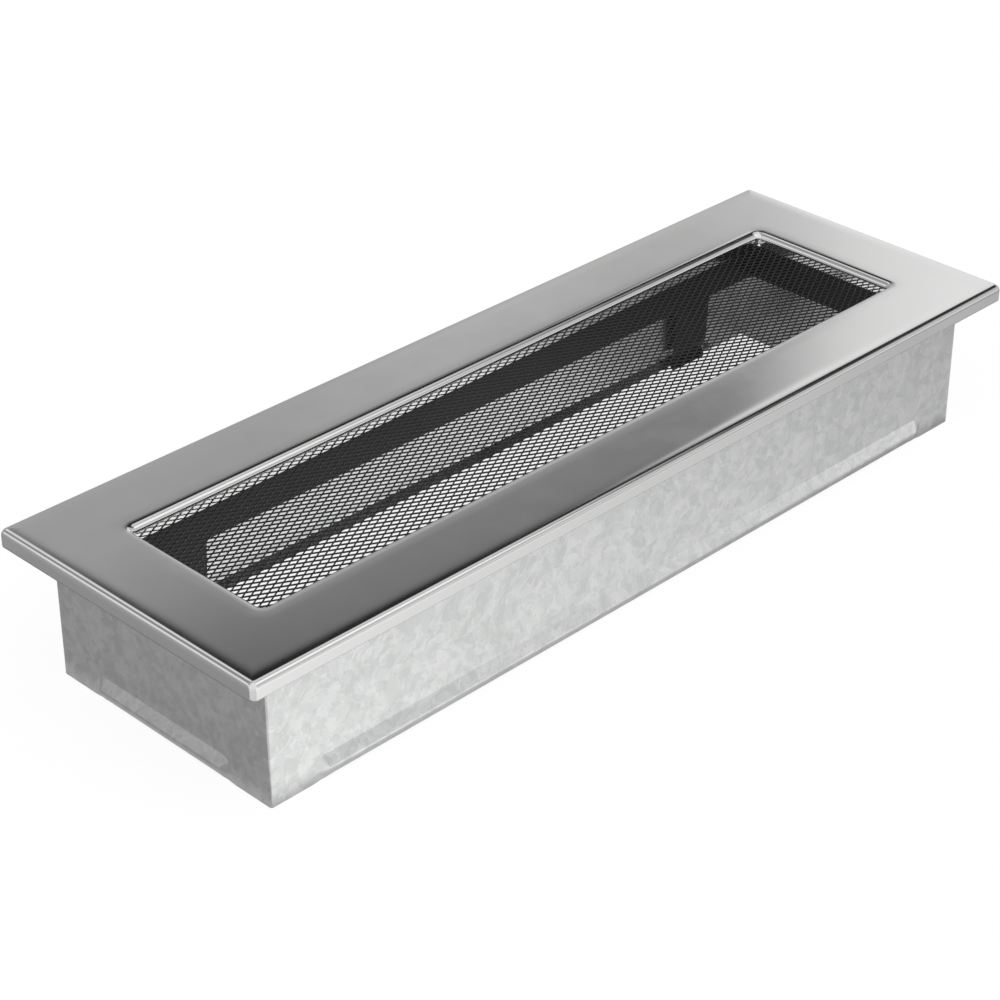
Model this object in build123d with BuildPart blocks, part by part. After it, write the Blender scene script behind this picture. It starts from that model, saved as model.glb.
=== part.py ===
"""Fireplace vent grille: a polished front frame with a black mesh, clipped into a galvanised wall box.

It stands on the open bottom of the wall box, face up. X is the long way, Y the short way, and z = 0 is the
bottom edge of the wall box. The front, with its mesh, carrier and spring clips, pulls out along +Z.
"""
from build123d import *
from math import atan, degrees, hypot
import os

os.makedirs("parts", exist_ok=True)

# Driving dimensions, in millimetres
# Front frame, one pressed sheet
frame_length = 490.0
frame_width = 165.0
frame_sheet = 1.0
rim_depth = 8.2            # from the face to the wall that the rim lies on
rim_edge_radius = 3.3      # between the face and the rim
rim_corner_radius = 3.3    # seen from the front
collar_depth = 7.4         # from the face to the edge that presses on the mesh
collar_edge_radius = 3.6
collar_corner_radius = 2.4

# Wall box, one folded strip of galvanised sheet
box_length = 455.0
box_width = 138.0
box_depth = 68.0           # behind the wall's face
box_sheet = 0.8
box_corner_radius = 1.3
lap_width = 14.0           # end of the strip, lapped inside one corner
lap_gap_to_edges = 3.0

# Pressed ridge near the bottom edge of each wall of the box
ridge_height = 2.9
ridge_half_width = 6.2
ridge_crest = 0.9          # flat along the top of the ridge, before it is rounded
ridge_crest_radius = 1.2
ridge_foot_radius = 1.5
ridge_end_margin = 24.0    # from the corner of the box to the ridge's rounded end
edge_lift = 1.2            # the bottom edge is drawn up beside the ridge
lift_ramp = 11.0           # length over which it is drawn up
lift_ramp_radius = 14.0

# Mesh
mesh_sheet = 0.8
mesh_overlap = 4.0         # past the opening on every side
strand_width = 3.4
diamond_columns = 11       # along X
diamond_rows = 4.5         # along Y

# Carrier, a folded frame that clamps the mesh
carrier_sheet = 0.8
carrier_depth = 30.5       # from its ledge to the bottom of its skirt
carrier_end_gap = 0.5      # to the inside of the wall box at each end
clip_space = 5.6           # from the long skirts to the inside of the wall box
carrier_bend_radius = 1.6
ledge_side_width = 19.6    # from the long skirts to the opening of the front frame
ledge_end_width = 20.4
ledge_setback = 1.0        # from the opening to the edge of the ledge

# Spring clips, spot-welded to the carrier's long skirts
clip_width = 25.0
clip_sheet = 0.8
clip_weld_end = 1.5        # from the end of the straight stretch to the skirt's lower edge
clip_lean = 1.4            # outwards, down the free leg
clip_kink_height = 11.6    # kink above the snap bend
snap_height = 5.2          # level with the ridge of the wall box
snap_gap = 0.4             # from the snap bend to the inside of the wall box
tail_height = 0.9
clip_bend_radius = 1.4
clip_inset_far = 65.5      # clip centre to the end of the wall box
clip_inset_near = 47.5
clip_corner_radius = 1.5

# Weld studs behind the face, with their nuts
stud_diameter = 4.0
stud_inset = 46.2          # from the end of the carrier to the first stud
stud_end = 1.5             # beyond the nut
stud_clearance = 0.25
nut_flats = 7.0
nut_height = 3.2

# Heights and places that follow
face_height = box_depth + rim_depth
plate_underside = face_height - frame_sheet
mesh_top = face_height - collar_depth
ledge_top = mesh_top - mesh_sheet
ledge_underside = ledge_top - carrier_sheet
carrier_bottom = ledge_top - carrier_depth
box_inner_length = box_length - 2 * box_sheet
box_inner_width = box_width - 2 * box_sheet
carrier_length = box_inner_length - 2 * carrier_end_gap
carrier_width = box_inner_width - 2 * clip_space
carrier_inner_length = carrier_length - 2 * carrier_sheet
carrier_inner_width = carrier_width - 2 * carrier_sheet
opening_length = carrier_inner_length - 2 * ledge_end_width
opening_width = carrier_inner_width - 2 * ledge_side_width
clip_outside = carrier_width / 2 + clip_sheet
clip_top = ledge_top - carrier_bend_radius
stud_x = carrier_length / 2 - stud_inset
stud_y = (opening_width / 2 + mesh_overlap + carrier_inner_width / 2) / 2
clip_centres = (clip_inset_far - box_length / 2, box_length / 2 - clip_inset_near)

# Front frame: a shallow pressed pan, then the collar, then the bends round the opening
with BuildPart() as front_frame:
    with BuildSketch(Plane.XY.offset(box_depth)):
        Rectangle(frame_length, frame_width)
    extrude(amount=rim_depth)
    fillet(front_frame.edges().filter_by(Axis.Z), radius=rim_corner_radius)
    fillet(front_frame.faces().sort_by(Axis.Z)[-1].edges(), radius=rim_edge_radius)
    offset(amount=-frame_sheet, openings=front_frame.faces().sort_by(Axis.Z)[0])
    with BuildSketch(Plane.XY.offset(mesh_top)):
        RectangleRounded(
            opening_length + 2 * frame_sheet,
            opening_width + 2 * frame_sheet,
            collar_corner_radius + frame_sheet,
        )
    extrude(amount=plate_underside - mesh_top)
    underside = front_frame.faces().filter_by_position(Axis.Z, plate_underside, plate_underside)[0]
    fillet(underside.inner_wires()[0].edges(), radius=collar_edge_radius - frame_sheet)
    with BuildSketch(Plane.XY.offset(mesh_top)):
        RectangleRounded(opening_length, opening_width, collar_corner_radius)
    extrude(amount=collar_depth, mode=Mode.SUBTRACT)
    mouth = front_frame.faces().sort_by(Axis.Z)[-1].inner_wires()[0].edges()
    fillet(mouth, radius=collar_edge_radius)
front_frame.part.label = "front_frame"
export_step(front_frame.part, "parts/front_frame.step")

# Mesh: coarse diamonds with the proportions of the real ones, cut short along the edge of the opening
diamond_length = opening_length / diamond_columns
diamond_width = opening_width / diamond_rows
side_distance = diamond_length * diamond_width / 2 / hypot(diamond_length, diamond_width)
gap_x = diamond_length / 2 * (1 - strand_width / 2 / side_distance)
gap_y = diamond_width / 2 * (1 - strand_width / 2 / side_distance)
with BuildPart() as mesh_panel:
    with BuildSketch(Plane.XY.offset(ledge_top)):
        Rectangle(opening_length + 2 * mesh_overlap, opening_width + 2 * mesh_overlap)
    extrude(amount=mesh_sheet)
    with BuildSketch(Plane.XY.offset(ledge_top)):
        with GridLocations(diamond_length, diamond_width, diamond_columns + 1, int(diamond_rows) + 1):
            Polygon((gap_x, 0), (0, gap_y), (-gap_x, 0), (0, -gap_y))
        with GridLocations(diamond_length, diamond_width, diamond_columns, int(diamond_rows)):
            Polygon((gap_x, 0), (0, gap_y), (-gap_x, 0), (0, -gap_y))
        Rectangle(
            opening_length + 2 * ledge_setback,
            opening_width + 2 * ledge_setback,
            mode=Mode.INTERSECT,
        )
    extrude(amount=mesh_sheet, mode=Mode.SUBTRACT)
mesh_panel.part.label = "mesh_panel"
export_step(mesh_panel.part, "parts/mesh_panel.step")

# Carrier: its ledge lies under the mesh, and its skirt hangs down inside the wall box
with BuildPart() as mesh_carrier:
    with BuildSketch(Plane.XY.offset(carrier_bottom)):
        Rectangle(carrier_length, carrier_width)
    extrude(amount=carrier_depth)
    fillet(mesh_carrier.faces().sort_by(Axis.Z)[-1].edges(), radius=carrier_bend_radius)
    with BuildSketch(Plane.XY.offset(carrier_bottom)):
        Rectangle(carrier_inner_length, carrier_inner_width)
    extrude(amount=carrier_depth - carrier_sheet, mode=Mode.SUBTRACT)
    inside = mesh_carrier.faces().filter_by_position(Axis.Z, ledge_underside, ledge_underside)[0]
    fillet(inside.edges(), radius=carrier_bend_radius - carrier_sheet)
    with BuildSketch(Plane.XY.offset(ledge_underside)):
        Rectangle(opening_length + 2 * ledge_setback, opening_width + 2 * ledge_setback)
        with GridLocations(stud_x, 2 * stud_y, 3, 2):
            Circle(stud_diameter / 2 + stud_clearance)
    extrude(amount=carrier_sheet, mode=Mode.SUBTRACT)
mesh_carrier.part.label = "mesh_carrier"
export_step(mesh_carrier.part, "parts/mesh_carrier.step")

# Spring clips, drawn from the side; those of the near long side are the far ones turned half round
clip_line = (
    (clip_outside, clip_top),
    (clip_outside, carrier_bottom + clip_weld_end),
    (clip_outside + clip_lean, clip_kink_height),
    (box_inner_width / 2 - snap_gap, snap_height),
    (clip_outside + clip_lean, tail_height),
)
clip_places = [(side, centre) for side in (1, -1) for centre in clip_centres]
for number, (side, centre) in enumerate(clip_places, start=1):
    clip_end = Plane(
        origin=(side * (centre - clip_width / 2), 0, 0),
        x_dir=(0, side, 0),
        z_dir=(side, 0, 0),
    )
    with BuildPart() as spring_clip:
        with BuildSketch(clip_end):
            with BuildLine():
                FilletPolyline(*clip_line, radius=clip_bend_radius)
                offset(amount=clip_sheet, side=Side.RIGHT)
            make_face()
        extrude(amount=clip_width)
        tail = spring_clip.faces().sort_by(Axis.Z)[0]
        fillet(tail.edges().sort_by(SortBy.LENGTH)[:2], radius=clip_corner_radius)
    spring_clip.part.label = f"spring_clip_{number}"
    export_step(spring_clip.part, f"parts/spring_clip_{number}.step")

# Weld studs and their nuts
stud_places = [(x * stud_x, y * stud_y) for y in (1, -1) for x in (-1, 0, 1)]
stud_bottom = ledge_underside - nut_height - stud_end
for number, place in enumerate(stud_places, start=1):
    with BuildPart() as weld_stud:
        with BuildSketch(Plane.XY.offset(stud_bottom)):
            with Locations(place):
                Circle(stud_diameter / 2)
        extrude(amount=plate_underside - stud_bottom)
    weld_stud.part.label = f"weld_stud_{number}"
    export_step(weld_stud.part, f"parts/weld_stud_{number}.step")

    with BuildPart() as stud_nut:
        with BuildSketch(Plane.XY.offset(ledge_underside)):
            with Locations(place):
                RegularPolygon(nut_flats / 2, 6, major_radius=False)
                Circle(stud_diameter / 2, mode=Mode.SUBTRACT)
        extrude(amount=-nut_height)
    stud_nut.part.label = f"stud_nut_{number}"
    export_step(stud_nut.part, f"parts/stud_nut_{number}.step")

# Wall box: the outside with its ridges first, then the inside with its grooves
ridge_slope = degrees(atan((ridge_half_width - ridge_crest / 2) / ridge_height))
long_run = box_length / 2 - ridge_end_margin - ridge_half_width
short_run = box_width / 2 - ridge_end_margin - ridge_half_width
walls = (
    (Vector(0, 1, 0), box_width, long_run),
    (Vector(0, -1, 0), box_width, long_run),
    (Vector(1, 0, 0), box_length, short_run),
    (Vector(-1, 0, 0), box_length, short_run),
)
with BuildPart() as wall_box:
    for inset, mode in ((0, Mode.ADD), (box_sheet, Mode.SUBTRACT)):
        with BuildSketch():
            RectangleRounded(box_length - 2 * inset, box_width - 2 * inset, box_corner_radius - inset)
        extrude(amount=box_depth, mode=mode)
        for outward, span, run in walls:
            face = Plane(
                origin=outward * (span / 2 - inset) + Vector(0, 0, ridge_half_width),
                x_dir=outward.cross(Vector(0, 0, 1)),
                z_dir=outward,
            )
            with BuildSketch(face):
                SlotCenterToCenter(2 * run, 2 * ridge_half_width)
            extrude(amount=ridge_height, taper=ridge_slope, mode=mode)
    for outward, span, run in walls:
        axis = Axis(outward * (span / 2), outward)
        crest = wall_box.edges().group_by(axis)[-1]
        fillet(crest, radius=ridge_crest_radius)
    for outward, span, run in walls:
        ramp_end = run + ridge_half_width + edge_lift
        edge_plane = Plane(origin=(0, 0, 0), x_dir=Vector(0, 0, 1).cross(outward), z_dir=outward)
        with BuildSketch(edge_plane.offset(span / 2 - ridge_height)):
            with BuildLine():
                FilletPolyline(
                    (-ramp_end - lift_ramp, 0),
                    (-ramp_end, 0),
                    (lift_ramp - ramp_end, edge_lift),
                    (ramp_end - lift_ramp, edge_lift),
                    (ramp_end, 0),
                    (ramp_end + lift_ramp, 0),
                    radius=lift_ramp_radius,
                )
                Polyline(
                    (ramp_end + lift_ramp, 0),
                    (ramp_end + lift_ramp, -edge_lift),
                    (-ramp_end - lift_ramp, -edge_lift),
                    (-ramp_end - lift_ramp, 0),
                )
            make_face()
        extrude(amount=2 * ridge_height + box_sheet, mode=Mode.SUBTRACT)
        feet = wall_box.edges().filter_by(
            lambda edge: abs(edge.center().dot(outward) - span / 2) < 0.01
            and 2 * edge_lift < edge.bounding_box().max.Z < 2 * ridge_half_width + edge_lift
        )
        fillet(feet, radius=ridge_foot_radius)
    lap_bottom = 2 * ridge_half_width + lap_gap_to_edges
    with BuildSketch(Plane.XY.offset(lap_bottom)):
        with Locations((box_inner_length / 2 - lap_width / 2, box_sheet / 2 - box_inner_width / 2)):
            Rectangle(lap_width, box_sheet)
    extrude(amount=box_depth - lap_gap_to_edges - lap_bottom)
wall_box.part.label = "wall_box"
export_step(wall_box.part, "parts/wall_box.step")
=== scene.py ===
from collections import namedtuple
from functools import reduce
from math import atan2, cos, hypot, radians, sin

import bpy
from mathutils import Matrix, Vector


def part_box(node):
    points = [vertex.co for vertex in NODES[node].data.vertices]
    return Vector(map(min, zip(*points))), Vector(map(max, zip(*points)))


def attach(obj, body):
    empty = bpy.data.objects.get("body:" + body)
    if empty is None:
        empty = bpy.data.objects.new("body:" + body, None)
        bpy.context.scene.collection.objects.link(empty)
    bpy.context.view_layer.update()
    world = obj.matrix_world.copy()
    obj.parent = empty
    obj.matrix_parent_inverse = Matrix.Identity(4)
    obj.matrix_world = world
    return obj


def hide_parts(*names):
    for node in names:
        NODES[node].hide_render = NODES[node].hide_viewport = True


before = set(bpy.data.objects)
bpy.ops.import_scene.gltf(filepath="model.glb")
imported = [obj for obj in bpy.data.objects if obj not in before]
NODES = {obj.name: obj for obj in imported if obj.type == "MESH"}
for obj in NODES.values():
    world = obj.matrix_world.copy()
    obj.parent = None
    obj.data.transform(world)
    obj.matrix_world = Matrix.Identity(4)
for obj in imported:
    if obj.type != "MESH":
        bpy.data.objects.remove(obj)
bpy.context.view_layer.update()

scene = bpy.context.scene


# Sizes that the looks follow, in metres

RIM_EDGE_RADIUS = 0.0033
COLLAR_EDGE_RADIUS = 0.0036
COLLAR_CORNER_RADIUS = 0.0024
MESH_OVERLAP = 0.0040
RIDGE_HEIGHT = 0.0029
BOX_CORNER_RADIUS = 0.0013
FACE_CORNER_RADIUS = 0.0005


def half_size(node, inset):
    """Half the length and half the width of a node, less an inset on every side."""
    low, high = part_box(node)
    return (high.x - low.x) / 2 - inset, (high.y - low.y) / 2 - inset


FACE_OUTLINE = half_size("front_frame", RIM_EDGE_RADIUS)
COLLAR_OUTLINE = half_size("mesh_panel", MESH_OVERLAP - COLLAR_EDGE_RADIUS)
BOX_OUTLINE = half_size("wall_box", RIDGE_HEIGHT)
RIM_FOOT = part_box("front_frame")[0].z


# Node helpers. The Mix node has several inputs of one name, so its sockets go by number.

MIX_FACTOR = 0
MIX_NUMBERS = (2, 3)
MIX_NUMBER = 0
MIX_COLOURS = (6, 7)
MIX_COLOUR = 2


class Graph:
    """A short way to write a node tree. A value is a number, a colour, a node or (node, output)."""

    def __init__(self, tree):
        self.tree = tree
        tree.nodes.clear()

    def add(self, kind, inputs=None, **settings):
        node = self.tree.nodes.new(kind)
        for key, value in settings.items():
            setattr(node, key, value)
        for key, value in (inputs or {}).items():
            self.put(node.inputs[key], value)
        return node

    def put(self, socket, value):
        if hasattr(value, "outputs"):
            value = (value, 0)
        if isinstance(value, tuple) and hasattr(value[0], "outputs"):
            node, output = value
            self.tree.links.new(node.outputs[output], socket)
        else:
            socket.default_value = value

    def math(self, operation, a, b=0.0):
        return self.add("ShaderNodeMath", {0: a, 1: b}, operation=operation)

    def total(self, *terms):
        return reduce(lambda a, b: self.math("ADD", a, b), terms)

    def product(self, *factors):
        return reduce(lambda a, b: self.math("MULTIPLY", a, b), factors)

    def vector(self, operation, a, b=(0.0, 0.0, 0.0)):
        return self.add("ShaderNodeVectorMath", {0: a, 1: b}, operation=operation)

    def axes(self, vector):
        node = self.add("ShaderNodeSeparateXYZ", {0: vector})
        return (node, 0), (node, 1), (node, 2)

    def span(self, curve, value, low, high, to_low, to_high):
        return self.add(
            "ShaderNodeMapRange",
            {"Value": value, "From Min": low, "From Max": high, "To Min": to_low, "To Max": to_high},
            interpolation_type=curve,
        )

    def ramp(self, value, low, high, to_low=0.0, to_high=1.0):
        """Go from to_low to to_high along a straight line between low and high."""
        return self.span("LINEAR", value, low, high, to_low, to_high)

    def steps(self, value, low, high, to_low=0.0, to_high=1.0):
        """Go from to_low to to_high along a smooth step between low and high."""
        return self.span("SMOOTHSTEP", value, low, high, to_low, to_high)

    def mix(self, factor, a, b):
        """Mix two colours."""
        first, second = MIX_COLOURS
        node = self.add("ShaderNodeMix", {MIX_FACTOR: factor, first: a, second: b}, data_type="RGBA")
        return (node, MIX_COLOUR)

    def blend(self, factor, a, b):
        """Mix two numbers."""
        first, second = MIX_NUMBERS
        node = self.add("ShaderNodeMix", {MIX_FACTOR: factor, first: a, second: b}, data_type="FLOAT")
        return (node, MIX_NUMBER)

    def noise(self, where, scale, detail=3.0, rough=0.5):
        return self.add(
            "ShaderNodeTexNoise",
            {"Vector": where, "Scale": scale, "Detail": detail, "Roughness": rough},
        )

    def grain(self, where, scale, rough=0.5):
        """Noise with a scale of its own along each axis."""
        stretched = self.add("ShaderNodeMapping", {"Vector": where, "Scale": scale})
        return self.noise(stretched, 1.0, rough=rough)


def material(name):
    mat = bpy.data.materials.new(name)
    mat.use_nodes = True
    g = Graph(mat.node_tree)
    where = (g.add("ShaderNodeTexCoord"), "Object")
    shader = g.add("ShaderNodeBsdfPrincipled")
    g.add("ShaderNodeOutputMaterial", {"Surface": shader})
    return mat, g, where, shader


def bump(g, shader, height, strength, distance):
    node = g.add("ShaderNodeBump", {"Height": height, "Strength": strength, "Distance": distance})
    g.put(shader.inputs["Normal"], node)


def rounded_box(g, where, outline, radius):
    """Signed distance from an upright box with rounded corners, below zero inside it."""
    flat = g.vector("MULTIPLY", where, (1.0, 1.0, 0.0))
    core = (outline[0] - radius, outline[1] - radius, 0.0)
    away = g.vector("SUBTRACT", g.vector("ABSOLUTE", flat), core)
    x, y, _ = g.axes(away)
    inside = g.math("MINIMUM", g.math("MAXIMUM", x, y), 0.0)
    outside = (g.vector("LENGTH", g.vector("MAXIMUM", away, (0.0, 0.0, 0.0))), "Value")
    return g.math("SUBTRACT", g.total(outside, inside), radius)


# Polished front: pressing dishes the sheet a little at the collar and the rim, and eases the rim's foot

FACE_DARK = (0.79, 0.79, 0.785, 1)
FACE_LIGHT = (0.82, 0.82, 0.815, 1)
FACE_ROUGHNESS = 0.11
FACE_GRAIN = (6.0, 1600.0, 1600.0)
FACE_GRAIN_HEIGHT = 0.0000006
DISH_WIDTH = 0.007
DISH_DEPTH = 0.000056
LIP_WIDTH = 0.0016
LIP_DEPTH = 0.000029
EDGE_WIDTH = 0.008
EDGE_DEPTH = 0.0002
FOOT_WIDTH = 0.001
FOOT_DEPTH = 0.00035


def hollow(g, distance, width, power, depth):
    """A hollow that is deepest where the distance is zero and gone where it reaches the width."""
    share = g.math("POWER", g.ramp(distance, 0.0, width, 1.0, 0.0), power)
    return g.product(share, -depth)


def polished_steel():
    mat, g, where, shader = material("polished_front")
    shader.inputs["Metallic"].default_value = 1.0
    cloud = g.steps(g.noise(where, 9.0), 0.3, 0.7)
    g.put(shader.inputs["Base Color"], g.mix(cloud, FACE_DARK, FACE_LIGHT))
    smear = g.noise(where, 45.0, 4.0, 0.6)
    grain = g.grain(where, FACE_GRAIN, 0.6)
    rough = g.steps(smear, 0.35, 0.75, FACE_ROUGHNESS - 0.01, FACE_ROUGHNESS + 0.02)
    g.put(shader.inputs["Roughness"], g.total(rough, g.steps(grain, 0.2, 0.8, 0.0, 0.015)))
    from_collar = rounded_box(g, where, COLLAR_OUTLINE, COLLAR_CORNER_RADIUS + COLLAR_EDGE_RADIUS)
    from_rim = g.product(rounded_box(g, where, FACE_OUTLINE, FACE_CORNER_RADIUS), -1.0)
    from_foot = g.math("SUBTRACT", g.axes(where)[2], RIM_FOOT)
    height = g.total(
        hollow(g, from_collar, DISH_WIDTH, 2.0, DISH_DEPTH),
        hollow(g, from_collar, LIP_WIDTH, 2.0, LIP_DEPTH),
        hollow(g, from_rim, EDGE_WIDTH, 4.0, EDGE_DEPTH),
        hollow(g, from_foot, FOOT_WIDTH, 2.0, FOOT_DEPTH),
        g.product(grain, FACE_GRAIN_HEIGHT),
    )
    bump(g, shader, height, 1.0, 1.0)
    return mat


# Galvanised sheet: a spangle of leaf-shaped crystals in three families, each with how it lies and its tone

CRYSTALS = ((62.0, 0.34), (-52.0, -0.32), (12.0, 0.20))
CRYSTAL_AXIS = (0.7, 0.7, 0.1)
LEAF_SCALE = (175.0, 175.0, 60.0)
NEEDLE_SCALE = (900.0, 900.0, 90.0)
WARP_SCALE = 45.0
WARP = 0.017
ZINC_DARK = (0.645, 0.66, 0.65, 1)
ZINC_LIGHT = (0.86, 0.87, 0.86, 1)
INSIDE_ROUGHNESS = 0.34
INSIDE_FROM = -0.0006
OUTSIDE_FROM = -0.0003


def crystals(g, where, angle):
    """Leaf-shaped patches that lie at an angle, each filled with fine needles."""
    turned = g.add(
        "ShaderNodeVectorRotate",
        {"Vector": where, "Axis": CRYSTAL_AXIS, "Angle": radians(angle)},
        rotation_type="AXIS_ANGLE",
    )
    leaf = g.steps(g.grain(turned, LEAF_SCALE, 0.55), 0.50, 0.515)
    needle = g.steps(g.grain(turned, NEEDLE_SCALE, 0.6), 0.2, 0.8, 0.55, 1.0)
    return g.product(leaf, needle)


def galvanised():
    mat, g, where, shader = material("galvanised_sheet")
    shader.inputs["Metallic"].default_value = 0.9
    wobble = (g.noise(where, WARP_SCALE, 3.0, 0.55), "Color")
    push = g.vector("SCALE", g.vector("SUBTRACT", wobble, (0.5, 0.5, 0.5)))
    push.inputs["Scale"].default_value = WARP
    bent = g.vector("ADD", where, push)
    tone = 0.5
    for angle, share in CRYSTALS:
        tone = g.total(tone, g.product(crystals(g, bent, angle), share))
    g.put(shader.inputs["Base Color"], g.mix(tone, ZINC_DARK, ZINC_LIGHT))
    # the inside of the box is duller than its outside
    outside = g.steps(rounded_box(g, where, BOX_OUTLINE, BOX_CORNER_RADIUS), INSIDE_FROM, OUTSIDE_FROM)
    shine = g.steps(tone, 0.2, 1.0, 0.15, 0.20)
    g.put(shader.inputs["Roughness"], g.blend(outside, INSIDE_ROUGHNESS, shine))
    bump(g, shader, tone, 0.12, 0.0002)
    return mat


# Black paint and bright fixings

PAINT_LIGHTEST = 1.35
PAINT_SPECULAR = 0.3
PEEL_DEPTH = 0.0002
SCUFF_SCALE = (300.0, 300.0, 2600.0)
SCUFF_DEPTH = 0.0001


def black_paint(name, colour, rough, peel_scale, peel_strength):
    mat, g, where, shader = material(name)
    shader.inputs["Specular IOR Level"].default_value = PAINT_SPECULAR
    light = tuple(channel * PAINT_LIGHTEST for channel in colour[:3]) + (1,)
    cloud = g.steps(g.noise(where, 30.0), 0.3, 0.7)
    g.put(shader.inputs["Base Color"], g.mix(cloud, colour, light))
    peel = g.noise(where, peel_scale, 3.0, 0.55)
    g.put(shader.inputs["Roughness"], g.steps(peel, 0.3, 0.7, rough - 0.04, rough + 0.05))
    bump(g, shader, peel, peel_strength, PEEL_DEPTH)
    return mat


def zinc():
    mat, g, where, shader = material("zinc_fixing")
    shader.inputs["Metallic"].default_value = 1.0
    cloud = g.steps(g.noise(where, 160.0, 4.0, 0.6), 0.3, 0.7)
    g.put(shader.inputs["Base Color"], g.mix(cloud, (0.62, 0.63, 0.64, 1), (0.74, 0.74, 0.72, 1)))
    scuff = g.grain(where, SCUFF_SCALE)
    g.put(shader.inputs["Roughness"], g.steps(scuff, 0.3, 0.7, 0.26, 0.42))
    bump(g, shader, scuff, 0.08, SCUFF_DEPTH)
    return mat


# Finish of every node

FRONT = polished_steel()
GALVANISED = galvanised()
CARRIER = black_paint("black_carrier", (0.016, 0.016, 0.0165, 1), 0.42, 2400.0, 0.10)
MESH = black_paint("black_mesh", (0.009, 0.009, 0.0095, 1), 0.34, 3000.0, 0.06)
SPRING = black_paint("black_spring", (0.008, 0.008, 0.0085, 1), 0.40, 2600.0, 0.08)
ZINC = zinc()
CLIPS = 4
STUDS = 6


def dress(name, mat):
    obj = NODES[name]
    if not obj.material_slots:
        obj.data.materials.append(mat)
    for slot in obj.material_slots:
        slot.material = mat


dress("front_frame", FRONT)
dress("wall_box", GALVANISED)
dress("mesh_carrier", CARRIER)
dress("mesh_panel", MESH)
for number in range(1, CLIPS + 1):
    dress(f"spring_clip_{number}", SPRING)
for number in range(1, STUDS + 1):
    dress(f"weld_stud_{number}", ZINC)
    dress(f"stud_nut_{number}", ZINC)


# Fine expanded metal, in place of the coarse mesh panel

PITCH_X = 0.00653
PITCH_Y = 0.00347
STEP_X = PITCH_X / 2
STEP_Y = PITCH_Y / 2
STRAND_ANGLE = atan2(STEP_Y, STEP_X)
STRAND_LENGTH = hypot(STEP_X, STEP_Y)
STRAND_WIDTH = 0.00062
STRAND_THICK = 0.00050
STRAND_TILT = radians(24)
STRAND_OVERLAP = 0.0002
STRAND_FACES = (
    (0, 3, 2, 1), (4, 5, 6, 7), (0, 1, 5, 4),
    (1, 2, 6, 5), (2, 3, 7, 6), (3, 0, 4, 7),
)
MESH_EDGE = 0.0006


def strand(start, way):
    """The corners of one strand, tilted about its own length, that climbs with way 1 or falls with -1."""
    along = Vector((cos(STRAND_ANGLE), way * sin(STRAND_ANGLE), 0))
    flat = Vector((-way * sin(STRAND_ANGLE), cos(STRAND_ANGLE), 0))
    side = flat * cos(STRAND_TILT) + Vector((0, 0, sin(STRAND_TILT)))
    up = Vector((0, 0, cos(STRAND_TILT))) - flat * sin(STRAND_TILT)
    centre = start + along * (STRAND_LENGTH / 2)
    for end in (-1, 1):
        tip = centre + along * (end * (STRAND_LENGTH / 2 + STRAND_OVERLAP))
        for s, u in ((-1, -1), (1, -1), (1, 1), (-1, 1)):
            yield tip + (side * (s * STRAND_WIDTH / 2) + up * (u * STRAND_THICK / 2))


def expanded_metal():
    low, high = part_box("mesh_panel")
    middle = (low + high) / 2
    half_x, half_y = half_size("mesh_panel", MESH_EDGE)
    columns = int(half_x / STEP_X)
    rows = int(half_y / STEP_Y)
    verts, faces = [], []
    for i in range(-columns, columns):
        for j in range(-rows, rows + 1):
            if (i + j) % 2:
                continue
            for way in (1, -1):
                if abs(j + way) > rows:
                    continue
                first = len(verts)
                faces.extend(tuple(first + corner for corner in face) for face in STRAND_FACES)
                start = Vector((i * STEP_X, j * STEP_Y, 0))
                verts.extend(tuple(point + middle) for point in strand(start, way))
    mesh = bpy.data.meshes.new("expanded_mesh")
    mesh.from_pydata(verts, [], faces)
    mesh.materials.append(MESH)
    obj = bpy.data.objects.new("expanded_mesh", mesh)
    scene.collection.objects.link(obj)
    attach(obj, "front")
    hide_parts("mesh_panel")


expanded_metal()


# Floor: how bright the metal sees each stretch of it, where 1 is white, and where each level changes

# These floor levels are painted light and shade that only reflections see: painted shade close to the
# box's wall, at its left and inside it towards its end at larger x, and painted light far out.
FLOOR_REACH = 6.0
FLOOR_FRONT = 0.86
FLOOR_LEFT = 0.19
FLOOR_CORNER = 0.58
FLOOR_RIGHT = 0.24
FLOOR_INNER = 1.0
FLOOR_INNER_END = 0.30
FLOOR_SHADE_UNDER_WALL = 0.50
FLOOR_FAR = 0.16
CORNER_TO_LEFT_Y = (-0.088, -0.074)
LEFT_TO_FRONT_X = (-0.236, -0.222)
FRONT_TO_RIGHT_X = (-0.20, 0.45)
INNER_TO_END_X = (0.08, 0.19)
UNDER_WALL = (0.0, 0.009)
FAR = (0.108, 0.135)
INNER = (-0.002, 0.0)
FLOOR_SEEN = 0.88
ALBEDO_SEEN = 0.20
ALBEDO_BOUNCED = 0.60


def floor_level(g, where):
    """The painted level around the box, with painted shade close to its wall and painted light far out,
    and the painted level inside it, with painted shade towards its end at larger x.
    """
    x, y, _ = g.axes(where)
    gap = rounded_box(g, where, BOX_OUTLINE, BOX_CORNER_RADIUS)
    left = g.blend(g.steps(y, *CORNER_TO_LEFT_Y), FLOOR_CORNER, FLOOR_LEFT)
    around = g.blend(g.steps(x, *LEFT_TO_FRONT_X), left, FLOOR_FRONT)
    around = g.blend(g.ramp(x, *FRONT_TO_RIGHT_X), around, FLOOR_RIGHT)
    # painted shade close to the wall, and painted light far out
    share = g.total(g.steps(gap, *UNDER_WALL, FLOOR_SHADE_UNDER_WALL, 1.0), g.steps(gap, *FAR, 0.0, FLOOR_FAR))
    inner = g.blend(g.steps(x, *INNER_TO_END_X), FLOOR_INNER, FLOOR_INNER_END)
    return g.blend(g.steps(gap, *INNER, 1.0, 0.0), g.product(around, share), inner)


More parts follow.
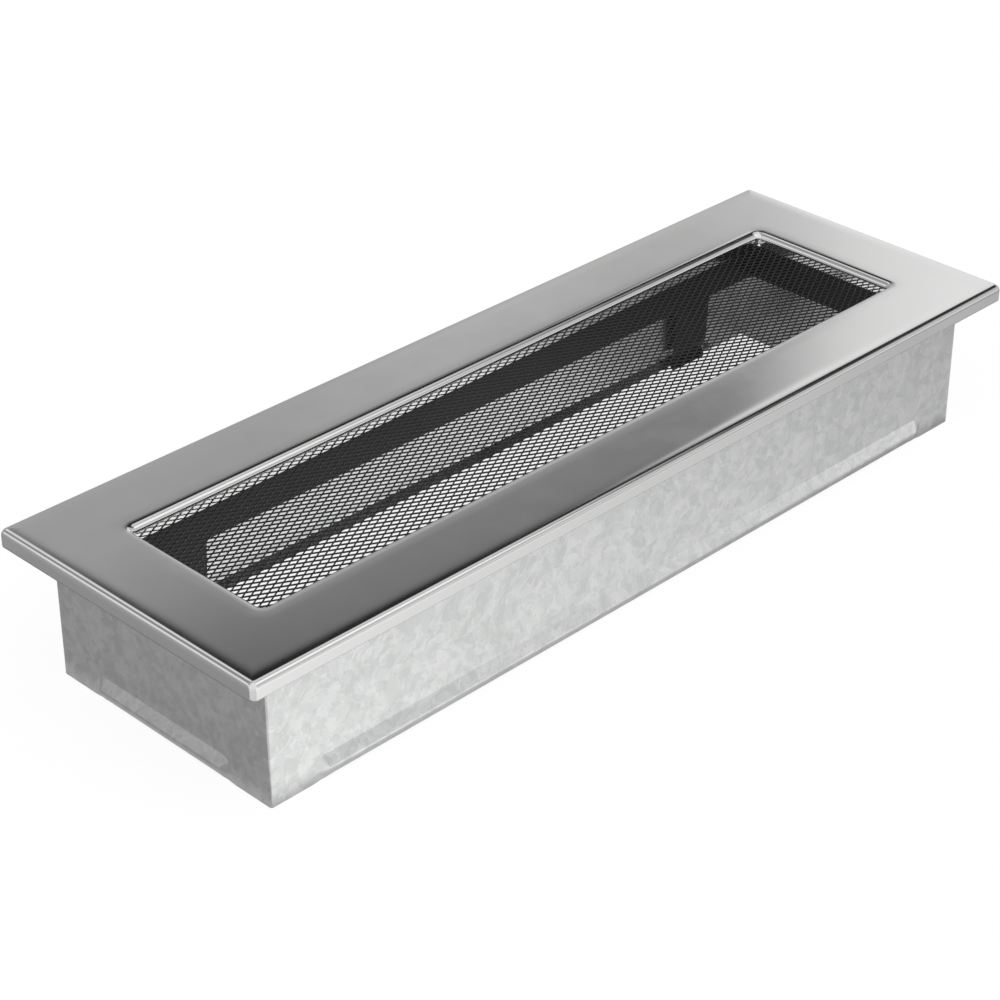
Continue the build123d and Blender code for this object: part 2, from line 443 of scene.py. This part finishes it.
def floor():
    mesh = bpy.data.meshes.new("studio_floor")
    s = FLOOR_REACH
    mesh.from_pydata([(-s, -s, 0), (s, -s, 0), (s, s, 0), (-s, s, 0)], [], [(0, 1, 2, 3)])
    obj = bpy.data.objects.new("studio_floor", mesh)
    scene.collection.objects.link(obj)
    mat = bpy.data.materials.new("studio_floor")
    mat.use_nodes = True
    g = Graph(mat.node_tree)
    where = (g.add("ShaderNodeTexCoord"), "Object")
    path = g.add("ShaderNodeLightPath")
    mirrored = (path, "Is Glossy Ray")
    seen = g.math("MAXIMUM", (path, "Is Camera Ray"), (path, "Is Transmission Ray"))
    # reflections see the floor glowing at the painted light and shade levels
    strength = g.math("MAXIMUM", g.product(seen, FLOOR_SEEN), g.product(mirrored, floor_level(g, where)))
    glow = g.add("ShaderNodeEmission", {"Color": (1, 1, 1, 1), "Strength": strength})
    albedo = g.blend(g.math("MAXIMUM", seen, mirrored), ALBEDO_BOUNCED, ALBEDO_SEEN)
    paint = g.add("ShaderNodeCombineColor", {0: albedo, 1: albedo, 2: albedo})
    lit = g.add("ShaderNodeBsdfDiffuse", {"Color": paint})
    both = g.add("ShaderNodeAddShader", {0: lit, 1: glow})
    g.add("ShaderNodeOutputMaterial", {"Surface": both})
    mesh.materials.append(mat)


# Studio: soft panels around the object, in degrees of azimuth and elevation. A climb is how much the lower
# edge rises per degree of azimuth past CLIMB_FROM, or the upper edge per degree past azimuth zero.

STUDIO_LEVEL = 0.90
STUDIO_SEEN = 1.0
CLIMB_FROM = 45.0
Panel = namedtuple(
    "Panel",
    "start end side_soft bottom top edge_soft level bottom_climb top_climb",
    defaults=(0.0, 0.0),
)
PANELS = (
    Panel(-75, 22, 4, 46, 90, 5, 0.78),
    Panel(-32, -18, 4, 46, 90, 4, 0.50),
    Panel(-75, 22, 4, 8, 46, 3, 0.58),
    Panel(37.5, 170, 4, -5, 90, 4, 0.56),
    Panel(48.5, 170, 5, -5, 90, 4, 0.42),
    Panel(38.0, 75, 1.5, 29.3, 60, 2.0, 0.20, bottom_climb=0.45),
    Panel(-36, 64, 5, 36, 51, 4, 0.02, top_climb=0.25),
    Panel(68, 98, 4, 36, 70, 4, 0.80),
    Panel(102, 124, 4, 34, 62, 4, 0.28),
    Panel(122, 170, 3, 17, 34, 2, 0.85),
    Panel(-100, -10, 6, -12, 2.5, 1.5, 1.0),
)


def rise(g, value, at, soft):
    return g.steps(value, at - soft, at + soft)


def fall(g, value, at, soft):
    return g.steps(value, at - soft, at + soft, 1.0, 0.0)


def studio():
    world = bpy.data.worlds.new("studio")
    scene.world = world
    world.use_nodes = True
    g = Graph(world.node_tree)
    x, y, z = g.axes((g.add("ShaderNodeTexCoord"), "Generated"))
    azimuth = g.math("DEGREES", g.math("ARCTAN2", y, x))
    elevation = g.math("DEGREES", g.math("ARCSINE", z))
    aside = g.math("SUBTRACT", azimuth, CLIMB_FROM)
    level = STUDIO_LEVEL
    for panel in PANELS:
        at_bottom = g.math("SUBTRACT", elevation, g.product(aside, panel.bottom_climb))
        at_top = g.math("SUBTRACT", elevation, g.product(azimuth, panel.top_climb))
        mask = g.product(
            rise(g, azimuth, panel.start, panel.side_soft),
            fall(g, azimuth, panel.end, panel.side_soft),
            rise(g, at_bottom, panel.bottom, panel.edge_soft),
            fall(g, at_top, panel.top, panel.edge_soft),
        )
        level = g.blend(mask, level, panel.level)
    path = g.add("ShaderNodeLightPath")
    level = g.blend((path, "Is Camera Ray"), level, STUDIO_SEEN)
    back = g.add("ShaderNodeBackground", {"Color": (1, 1, 1, 1), "Strength": level})
    g.add("ShaderNodeOutputWorld", {"Surface": back})


# Key lamp, aimed at the origin

KEY_AZIMUTH = radians(-62)
KEY_ELEVATION = radians(42)
KEY_DISTANCE = 2.2
KEY_SIZE = (1.2, 0.8)
KEY_WATTS = 1.6


def key_lamp():
    data = bpy.data.lights.new("key", "AREA")
    data.shape = "RECTANGLE"
    data.size, data.size_y = KEY_SIZE
    data.energy = KEY_WATTS
    obj = bpy.data.objects.new("key", data)
    scene.collection.objects.link(obj)
    towards = Vector((
        cos(KEY_AZIMUTH) * cos(KEY_ELEVATION),
        sin(KEY_AZIMUTH) * cos(KEY_ELEVATION),
        sin(KEY_ELEVATION),
    ))
    obj.location = towards * KEY_DISTANCE
    obj.rotation_euler = towards.to_track_quat("Z", "Y").to_euler()
    obj.visible_camera = False


# Camera, at the photograph's angle

VIEW_AZIMUTH = radians(-45.136)
VIEW_ELEVATION = radians(31.044)
CAMERA_PLACE = (-0.77869, -0.7494, 0.67099)
CAMERA_SENSOR = 36.0
CAMERA_LENS = 96.47
CAMERA_SHIFT = -0.0008
CAMERA_NEAR = 0.01
CAMERA_FAR = 50.0


def photograph_camera():
    data = bpy.data.cameras.new("camera")
    data.sensor_width = CAMERA_SENSOR
    data.lens = CAMERA_LENS
    data.shift_x = CAMERA_SHIFT
    data.clip_start = CAMERA_NEAR
    data.clip_end = CAMERA_FAR
    obj = bpy.data.objects.new("camera", data)
    scene.collection.objects.link(obj)
    ahead = Vector((
        -sin(VIEW_AZIMUTH) * cos(VIEW_ELEVATION),
        cos(VIEW_AZIMUTH) * cos(VIEW_ELEVATION),
        -sin(VIEW_ELEVATION),
    ))
    right = Vector((cos(VIEW_AZIMUTH), sin(VIEW_AZIMUTH), 0))
    above = right.cross(ahead)
    turned = Matrix((right, above, -ahead)).transposed().to_4x4()
    obj.matrix_world = Matrix.Translation(CAMERA_PLACE) @ turned
    scene.camera = obj


floor()
studio()
key_lamp()
photograph_camera()
scene.view_settings.view_transform = "Standard"
